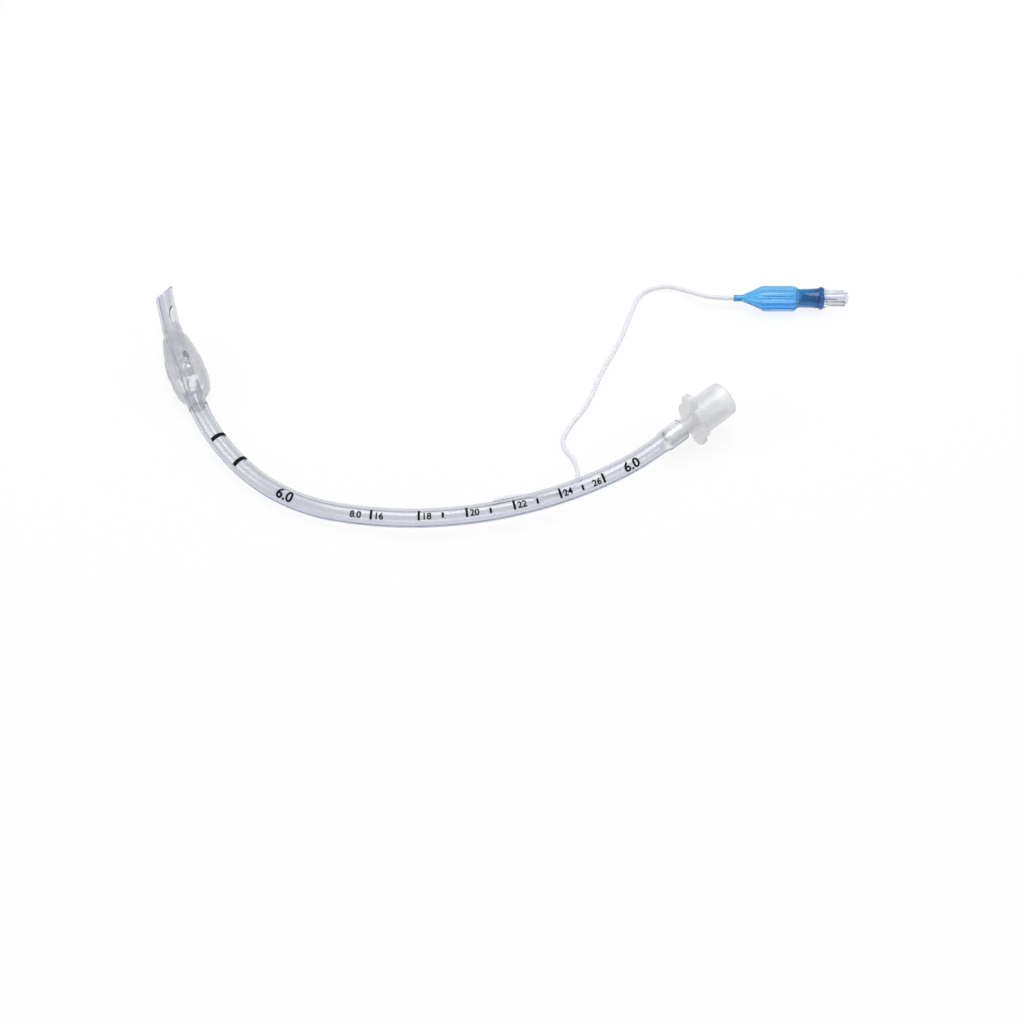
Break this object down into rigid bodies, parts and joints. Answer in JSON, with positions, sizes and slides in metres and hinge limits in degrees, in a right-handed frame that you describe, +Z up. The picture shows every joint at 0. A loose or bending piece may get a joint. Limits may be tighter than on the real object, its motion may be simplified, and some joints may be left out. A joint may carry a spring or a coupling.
{
  "type": "endotracheal tube",
  "caption": "Cuffed clear airway tube with bevelled tip, slack cuff, male cone connector, inflation line, blue pilot balloon and spring check valve.",
  "frame": {"origin": "on the surface under the middle of the tube, cuff and connector (the inflation line and pilot balloon not counted)", "axes": "+X from the cuff to the connector, +Z up from the surface it lies on, +Y to the inside of the tube's bend"},
  "size_m": [0.3097, 0.1261, 0.0257],
  "materials": {
    "clear_pvc": "clear, smooth, faintly blue",
    "blue_stripe": "opaque blue compound in the wall",
    "cuff_film": "thin clear film, soft folds",
    "milky_polypropylene": "translucent milky moulding, satin",
    "line_pvc": "milky soft tubing",
    "blue_film": "clear azure film, glossy",
    "clear_housing": "clear hard moulding, glossy",
    "white_plastic": "white moulding, satin",
    "black_rubber": "black moulded rubber",
    "spring_steel": "bright drawn wire"
  },
  "bodies": {
    "root": {"main_tube": "clear_pvc", "x_ray_line": "blue_stripe", "cuff": "cuff_film", "connector_15mm": "milky_polypropylene", "inflation_line": "line_pvc", "pilot_balloon": "blue_film", "valve_housing": "clear_housing", "valve_retainer": "white_plastic", "valve_spring": "spring_steel"},
    "plunger": {"valve_plunger": "white_plastic", "valve_seal": "black_rubber"}
  },
  "joints": [
    {"name": "plunger_press", "type": "slide", "parent": "root", "child": "plunger", "axis": [-1, 0, 0], "range_m": [0, 0.0015], "stiffness_N_per_m": 40, "springref_m": -0.001, "deforming": ["valve_spring"]}
  ]
}
